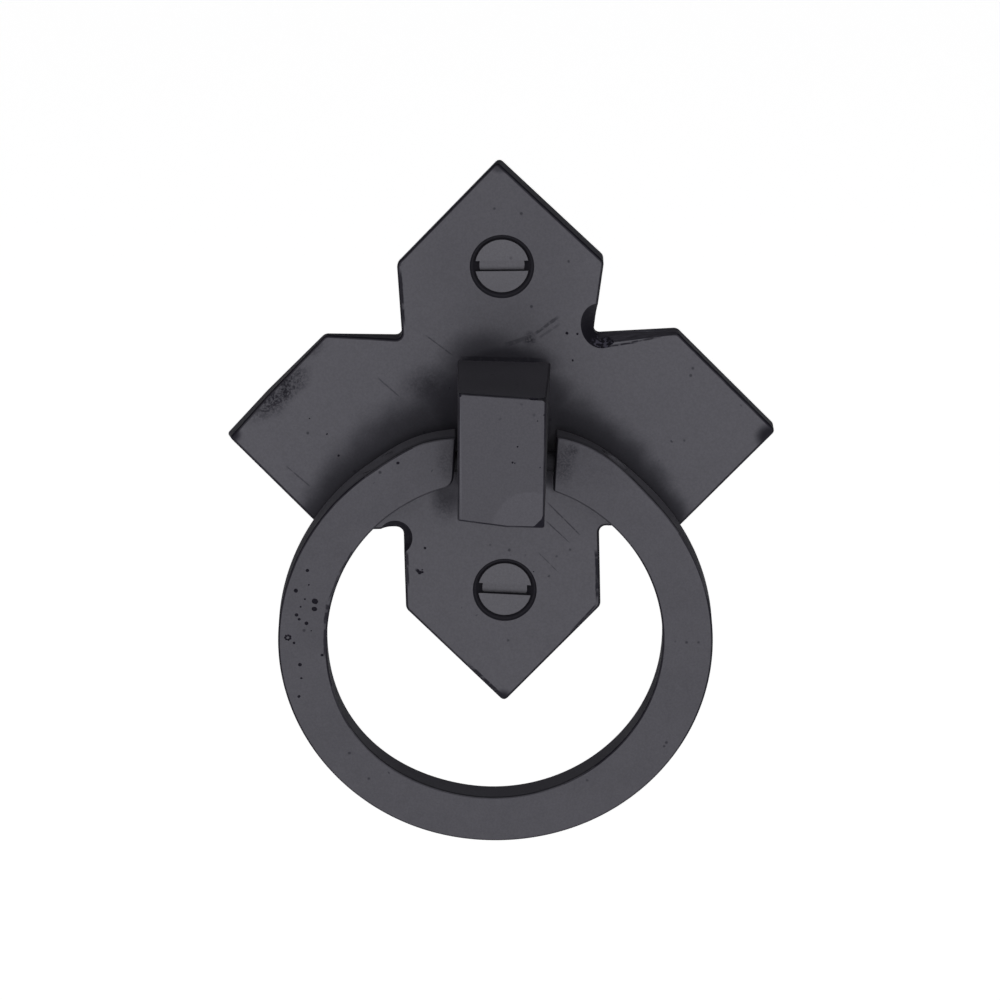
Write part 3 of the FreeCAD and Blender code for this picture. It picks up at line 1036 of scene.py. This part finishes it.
def painted_shade_round_post_and_ring(at):
    """Painted shade on the plate's front face round the post and along the resting ring's upper rim, with the
    patches of the table.
    """
    shape = bpy.context.scene.pull_ring
    centre = ring_place(shape).translation
    flat = vectors("MULTIPLY", at, (1, 0, 1))
    out = vectors("SUBTRACT", flat, (centre.x, 0, centre.z))
    away = vectors("LENGTH", out)
    upward, to_right = (maths("DIVIDE", dot(out, way), away, clamp=True) for way in (UP, RIGHT))
    full_reach, fading_reach, ragged = 2.8 * MM, 8.9 * MM, 0.35 * MM
    full = maths("POWER", upward, 6) * full_reach
    fading = (upward - 0.237) * fading_reach * (1.0 - to_right * 0.25)
    cloud = band(noise(flat, 260.0), 0.3, 0.7, -ragged, ragged)
    off_ring = away - RING_RADIUS + cloud
    inside = band(off_ring, -shape.width - 0.4 * MM, -shape.width + 0.6 * MM)
    beside_post = maximum(patch(flat, -5.9, -1.6, 1.2, 3.0) * 0.4, patch(flat, 6.2, -2.2, 1.3, 3.6) * 0.8)
    halo = band(off_ring, maximum(fading, full + 0.2 * MM), full)
    mask = halo * inside * ((1.0 - beside_post) * 0.66)
    for *limits, strength in PLATE_SHADE_AND_TIP_PATCHES:
        mask = maximum(mask, patch(flat, *limits) * strength)
    return mask * band(dot(at, BACK), -1.0 * MM, -2.4 * MM)


def countersink_painted_shade(at):
    """Painted shade along a countersink's two edges, with less of it on a line between them."""
    flat = vectors("MULTIPLY", at, (1, 0, 1))
    radius = maths("MINIMUM", *(vectors("DISTANCE", flat, (x, 0, z)) for x, z in screw_places()))
    off_middle = maths("ABSOLUTE", radius - 3.45 * MM)
    near = band(radius, 4.1 * MM, 3.9 * MM) * band(dot(at, BACK), -0.5 * MM, -1.5 * MM)
    return band(off_middle, 0.03 * MM, 0.13 * MM, 0.4, 0.95) * near


def ring_wall_painted_shade(at):
    """Painted shade on the ring's inner wall, on its sides and on a strip of its rim along the front edge, so
    that the rim is lightest where it faces up.
    """
    shape = bpy.context.scene.pull_ring
    place = ring_place(shape)
    offset = vectors("SUBTRACT", at, tuple(place.translation))
    depth = dot(offset, tuple(place.to_3x3() @ Vector(BACK)))
    front = -shape.thickness / 2
    strip = band(depth, front + 1.0 * MM, front + 0.7 * MM, 0.0, 0.28)
    away = vectors("LENGTH", offset)
    inner = band(away, RING_RADIUS - 1 * MM, RING_RADIUS - 4 * MM, 0.0, 0.36)
    side = band(maths("ABSOLUTE", dot(offset, UP)) / away, 0.8, 0.4, 0.0, 0.65)
    return maximum(maximum(strip, inner), side)


def post_lighter_patch_and_highlight(at):
    """Lighter on the post's front: its lower right part, and a painted highlight along its left edge, where
    the rounded edge catches the light.
    """
    return patch(at, 3.5, -7.0, 4.9, 4.2, 0.93, 1.05) * 0.14 + patch(at, -4.62, 1.2, 0.14, 8.0) * 0.22


def bevel_painted_light(at):
    """Painted light on the filed bevel at the upper right, which faces up, broken up in long strokes."""
    strokes = noise(vectors("MULTIPLY", at, (0.12, 1, 1)), 5200.0, detail=2.0)
    return patch(at, 15.5, 11.0, 5.0, 1.0) * band(strokes, 0.35, 0.65, 0.2, 1.1)


def burr_light(at):
    """Bright flecks of torn metal in the two dug-out corners."""
    flecks = band(noise(at, 2600.0, detail=2.0), 0.48, 0.56, 0.5, 9.0)
    return maximum(patch(at, 11.8, 10.2, 1.5, 1.1), patch(at, -12.3, -11.6, 0.9, 0.9)) * flecks


# Painted shade in the lower dug-out corner.
def lower_gouge_painted_shade(at):
    return patch(at, -12.2, -12.3, 3.2, 3.2) * 0.6


def new_material(name):
    material = bpy.data.materials.new(name)
    material.use_nodes = True
    tree = material.node_tree
    at = Value(add_node(tree, "ShaderNodeTexCoord").outputs["Object"])
    return material, tree, tree.nodes["Principled BSDF"].inputs, at


def blackened_metal(
        name, base, seed, marks=(), smudge_and_shade_patches=(), point=None, specks=0.5, roughness=0.4, metallic=0.75,
        edges=0.85, shade=None, light=None, tint=(0.45, 0.45, 0.47)):
    """Satin blackened metal, made once, with dark marks and speckled patches, some of them painted shade, and
    painted shade along its rounded edges.

    Point places their (x, z) on the piece. Shade and light are functions that make a mask: how much
    painted shade darkens the metal, and how much lighter it is, painted light among it. Tint is that of
    the shine.
    """
    if name in bpy.data.materials:
        return bpy.data.materials[name]
    material, tree, shader, at = new_material(name)
    cloud, grain, specks_there = cast_skin(at, seed, specks)
    dark = maximum(specks_there, edge_painted_shade(at, edges))
    for x, z, to_x, to_z, width, strength in marks:
        dark = maximum(dark, scratch_and_shade_line(at, point(x, z), point(to_x, to_z), width * MM) * strength)
    for x, z, radius, stretch, turn, strength in smudge_and_shade_patches:
        there = smudge_and_shade_patch(at, point(x, z), stretch, math.radians(turn), radius * MM)
        dark = maximum(dark, there * strength)
    relief = dark
    if shade:
        dark = 1.0 - (1.0 - dark) * (1.0 - shade(at))
    tone = band(cloud, 0.0, 1.0, 0.94, 1.05) + band(grain, 0.3, 0.7, -0.06, 0.06)
    if light:
        tone = tone * (light(at) + 1.0)

    toned = vectors("MULTIPLY", tuple(base), tone)
    # The dark masks, painted shade among them, mix the colour towards that of the cavities.
    mix = add_node(tree, "ShaderNodeMix", data_type="RGBA")
    feed(mix.inputs, Factor=dark, A=toned, B=(*bpy.context.scene.pull_colours.cavity, 1))
    rough = band(cloud, 0.0, 1.0, roughness - 0.05, roughness + 0.05) + dark * 0.25
    feed(shader, **{"Base Color": Value(mix.outputs[2]), "Roughness": rough})
    feed(shader, **{"Metallic": metallic, "Specular Tint": (*tint, 1)})
    height = grain * 0.25 - relief * 0.8
    bump = add_node(tree, "ShaderNodeBump")
    feed(bump.inputs, Strength=0.25, Distance=0.02 * MM, Height=height)
    feed(shader, Normal=Value(bump.outputs["Normal"]))
    return material


def on_face(x, z):
    """A point on the backplate's face, from millimetres."""
    return (x * MM, FACE_Y, z * MM)


def on_ring(x, z):
    """A point on the ring's front face, from millimetres in the ring's own frame."""
    shape = bpy.context.scene.pull_ring
    return tuple(ring_place(shape) @ Vector((x * MM, -shape.thickness / 2, z * MM)))


def wall_metal(name, base):
    """The duller, as-cast finish of the walls, which the rubbing pad didn't reach, with painted shade along
    the countersinks' edges and painted light on the filed bevel.
    """
    return blackened_metal(name, base, 0.47, shade=countersink_painted_shade, light=bevel_painted_light, **AS_CAST)


def ring_wall_metal(colours):
    """The finish of the ring's rim and inner wall, painted lighter than the other walls for the light that
    falls on the rim from above, and painted darker again on the inner wall, the sides and by the front edge.
    """
    return blackened_metal("painted_light_ring_wall_finish", colours.painted_light_ring_walls, 0.61, shade=ring_wall_painted_shade, **AS_CAST)


def cavity_metal(colours):
    """The thicker, duller blackening inside pits, holes and dug-out corners, painted darker in the lower
    dug-out corner as its shade. The outer facets of rounded edges take it too, as painted shade.
    """
    return blackened_metal(
        "blackened_cavity", tuple(0.5 * part for part in colours.cavity), 0.71, specks=0.2, roughness=0.75,
        metallic=0.0, edges=0.0, shade=lower_gouge_painted_shade, light=burr_light, tint=(0.34, 0.31, 0.46))


# Stage

def studio_paper():
    """Pale paper that the camera and mirror-like rays see as plain white, with the shadow kept."""
    material, tree, shader, at = new_material("studio_paper")
    fibre = band(noise(at, 900.0, detail=4.0), 0.3, 0.7, 0.78, 0.82)
    feed(shader, **{"Base Color": fibre, "Roughness": 0.9})
    rays = add_node(tree, "ShaderNodeLightPath").outputs
    seen = Value(rays["Is Camera Ray"]) + Value(rays["Is Glossy Ray"]) + Value(rays["Is Transmission Ray"])
    strength = seen * 0.9
    glow = add_node(tree, "ShaderNodeEmission")
    feed(glow.inputs, Strength=strength)
    both = add_node(tree, "ShaderNodeAddShader")
    feed(both.inputs, Value(tree.nodes["Principled BSDF"].outputs[0]), Value(glow.outputs[0]))
    feed(tree.nodes["Material Output"].inputs, Surface=Value(both.outputs[0]))
    return material


def build_floor(stage):
    """A round floor that turns up into a low wall, so that every low view ends on paper."""
    wall, bend = 0.36, 0.2
    bm = bmesh.new()
    radius, drop = stage.floor_radius, -stage.floor_drop
    profile = [(0, 0, drop), (radius - bend, 0, drop), (radius, 0, drop + bend), (radius, 0, drop + wall)]
    spin_chain(bm, profile, ORIGIN, UP, 96)
    if bm.faces[0].normal.z < 0:
        bmesh.ops.reverse_faces(bm, faces=bm.faces)
    floor = finish_mesh(bm, "studio_floor", [studio_paper()])
    floor.data.shade_smooth()
    return floor


def camera_frame(stage):
    """The camera's axes at the photograph's viewing angle."""
    down = stage.elevation
    sight = Vector((0, math.cos(down), -math.sin(down)))
    level = Vector(RIGHT)
    upward = level.cross(sight)
    right = level * math.cos(stage.roll) + upward * math.sin(stage.roll)
    up = upward * math.cos(stage.roll) - level * math.sin(stage.roll)
    return right, up, sight


def place_camera(stage):
    right, up, sight = camera_frame(stage)
    look_at = Vector((-0.21 * MM, 0, -8.61 * MM))
    data = bpy.data.cameras.new("photo_camera")
    data.lens = stage.lens
    data.sensor_width = 36
    data.clip_start, data.clip_end = 0.05, 20
    camera = bpy.data.objects.new("photo_camera", data)
    place = Matrix((right, up, -sight)).transposed().to_4x4()
    place.translation = look_at - sight * stage.distance
    camera.matrix_world = place
    bpy.context.scene.collection.objects.link(camera)
    bpy.context.scene.camera = camera


def add_soft_box(stage):
    """A large lamp on the camera's line of sight, which the camera doesn't see."""
    _, _, sight = camera_frame(stage)
    target, distance = Vector((0, 0, -9 * MM)), 1.15
    data = bpy.data.lights.new("soft_box", "AREA")
    data.shape = "RECTANGLE"
    data.size, data.size_y = stage.soft_box, stage.soft_box_height
    data.energy = stage.soft_box_power
    lamp = bpy.data.objects.new("soft_box", data)
    turn = sight.to_track_quat("-Z", "Y").to_matrix().to_4x4()
    lamp.matrix_world = Matrix.Translation(target - sight * distance) @ turn
    lamp.visible_camera = False
    bpy.context.scene.collection.objects.link(lamp)


def light_room(stage):
    world = bpy.data.worlds.new("quiet_room")
    world.use_nodes = True
    sky = world.node_tree.nodes["Background"]
    feed(sky.inputs, Color=(0.96, 0.97, 1.0, 1), Strength=stage.room)
    bpy.context.scene.world = world


# Operators

class PULL_OT_backplate(bpy.types.Operator):
    """Build the backplate with its countersinks, dug-out corners and pits"""
    bl_idname = "pull.backplate"
    bl_label = "Backplate"

    def execute(self, context):
        shape, colours = context.scene.pull_plate, context.scene.pull_colours
        metal = blackened_metal(
            "blackened_plate", colours.plate, 0.13, PLATE_SCRATCHES_AND_SHADE_LINES, PLATE_SMUDGES, on_face, specks=0.55,
            shade=painted_shade_round_post_and_ring)
        wall = wall_metal("as_cast_wall", colours.wall)
        plate = build_backplate(shape, metal, wall, cavity_metal(colours))
        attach(plate, FIXED)
        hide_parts("backplate")
        return {"FINISHED"}


class PULL_OT_post(bpy.types.Operator):
    """Build the square post with its tenon, rivet and bore"""
    bl_idname = "pull.post"
    bl_label = "Post"

    def execute(self, context):
        shape, colours = context.scene.pull_post, context.scene.pull_colours
        metal = blackened_metal("blackened_post", colours.post, 0.37, specks=0.3, edges=0.9, light=post_lighter_patch_and_highlight)
        wall, cavity = wall_metal("painted_light_post_walls", colours.painted_light_post_walls), cavity_metal(colours)
        post = build_post(shape, metal, wall, cavity, wall_metal("painted_shade_post_right_side", colours.painted_shade_post_side))
        build_tenon(post, shape, metal)
        bore_post(post, shape, cavity)
        mark_rounds(post, lambda normal: max(abs(part) for part in normal) > 0.975)
        # The right side takes its painted shade, and the other walls the lighter colour that paints the light
        # on the post's top.
        give_slot(post, 3, lambda normal: normal.x > 0.7)
        give_slot(post, 1, lambda normal: -0.5 < normal.y < 0.9)
        smooth_rounds(post)
        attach(post, FIXED)
        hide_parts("post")
        return {"FINISHED"}


class PULL_OT_ring(bpy.types.Operator):
    """Build the open ring with its pits and bores"""
    bl_idname = "pull.ring"
    bl_label = "Ring"

    def execute(self, context):
        shape, colours = context.scene.pull_ring, context.scene.pull_colours
        metal = blackened_metal(
            "blackened_ring", colours.ring, 0.53, RING_SHADE_LINES, RING_PAINTED_SHADE, on_ring, specks=0.6, edges=0.95)
        ring = build_ring(shape, metal, ring_wall_metal(colours), cavity_metal(colours))
        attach(ring, MOVING)
        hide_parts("ring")
        return {"FINISHED"}


class PULL_OT_pin(bpy.types.Operator):
    """Build the hinge pin, its ends dressed off just under the ring's rim"""
    bl_idname = "pull.pin"
    bl_label = "Hinge pin"

    def execute(self, context):
        shape, colours = context.scene.pull_ring, context.scene.pull_colours
        # Its dark colour is painted shade, for the gap where the pin shows.
        metal = blackened_metal(
            "painted_shade_blackened_pin", colours.pin, 0.29, specks=0.2, roughness=0.7, metallic=0.15, edges=0.3)
        pin = build_pin(shape, metal, ring_wall_metal(colours))
        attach(pin, MOVING)
        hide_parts("pivot_pin")
        return {"FINISHED"}


class PULL_OT_screws(bpy.types.Operator):
    """Build the two slotted wood screws with their threads"""
    bl_idname = "pull.screws"
    bl_label = "Screws"

    def execute(self, context):
        scene = context.scene
        shape, plate_shape, colours = scene.pull_screw, scene.pull_plate, scene.pull_colours
        metal = blackened_metal("blackened_screw", colours.screw, 0.91, specks=0.3)
        wall = wall_metal("as_cast_wall", colours.wall)
        turns = {"top_screw": 0.0, "bottom_screw": math.radians(-3.4)}
        for place, (node, turn) in zip(screw_places(), turns.items()):
            screw = build_screw(f"slotted_{node}", place, turn, shape, plate_shape, metal, wall)
            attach(screw, FIXED)
            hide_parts(node)
        return {"FINISHED"}


class PULL_OT_stage(bpy.types.Operator):
    """Set up the floor, the lamp and the camera"""
    bl_idname = "pull.stage"
    bl_label = "Stage"

    def execute(self, context):
        stage = context.scene.pull_stage
        context.scene.view_settings.view_transform = "Standard"
        build_floor(stage)
        place_camera(stage)
        light_room(stage)
        add_soft_box(stage)
        return {"FINISHED"}


class PULL_PT_panel(bpy.types.Panel):
    """Lists the drop pull's pieces in the sidebar"""
    bl_idname = "PULL_PT_panel"
    bl_label = "Drop Pull"
    bl_space_type = "VIEW_3D"
    bl_region_type = "UI"
    bl_category = "Drop Pull"

    def draw(self, context):
        for step in STEPS:
            self.layout.operator(step.bl_idname)
        for name in GROUPS:
            box = self.layout.box()
            settings = getattr(context.scene, name)
            for label in settings.bl_rna.properties.keys():
                if label not in ("rna_type", "name"):
                    box.prop(settings, label)


GROUPS = {
    "pull_plate": PlateShape, "pull_post": PostShape, "pull_ring": RingShape, "pull_screw": ScrewShape,
    "pull_colours": FinishColours, "pull_stage": StageSettings,
}
STEPS = (PULL_OT_backplate, PULL_OT_post, PULL_OT_ring, PULL_OT_pin, PULL_OT_screws, PULL_OT_stage)


def register():
    for kind in (*GROUPS.values(), *STEPS, PULL_PT_panel):
        bpy.utils.register_class(kind)
    for name, kind in GROUPS.items():
        setattr(bpy.types.Scene, name, PointerProperty(type=kind))


def unregister():
    for name in GROUPS:
        delattr(bpy.types.Scene, name)
    for kind in reversed((*GROUPS.values(), *STEPS, PULL_PT_panel)):
        bpy.utils.unregister_class(kind)


def main():
    register()
    bpy.ops.pull.backplate()
    bpy.ops.pull.post()
    bpy.ops.pull.ring()
    bpy.ops.pull.pin()
    bpy.ops.pull.screws()
    bpy.ops.pull.stage()


if __name__ == "__main__":
    main()
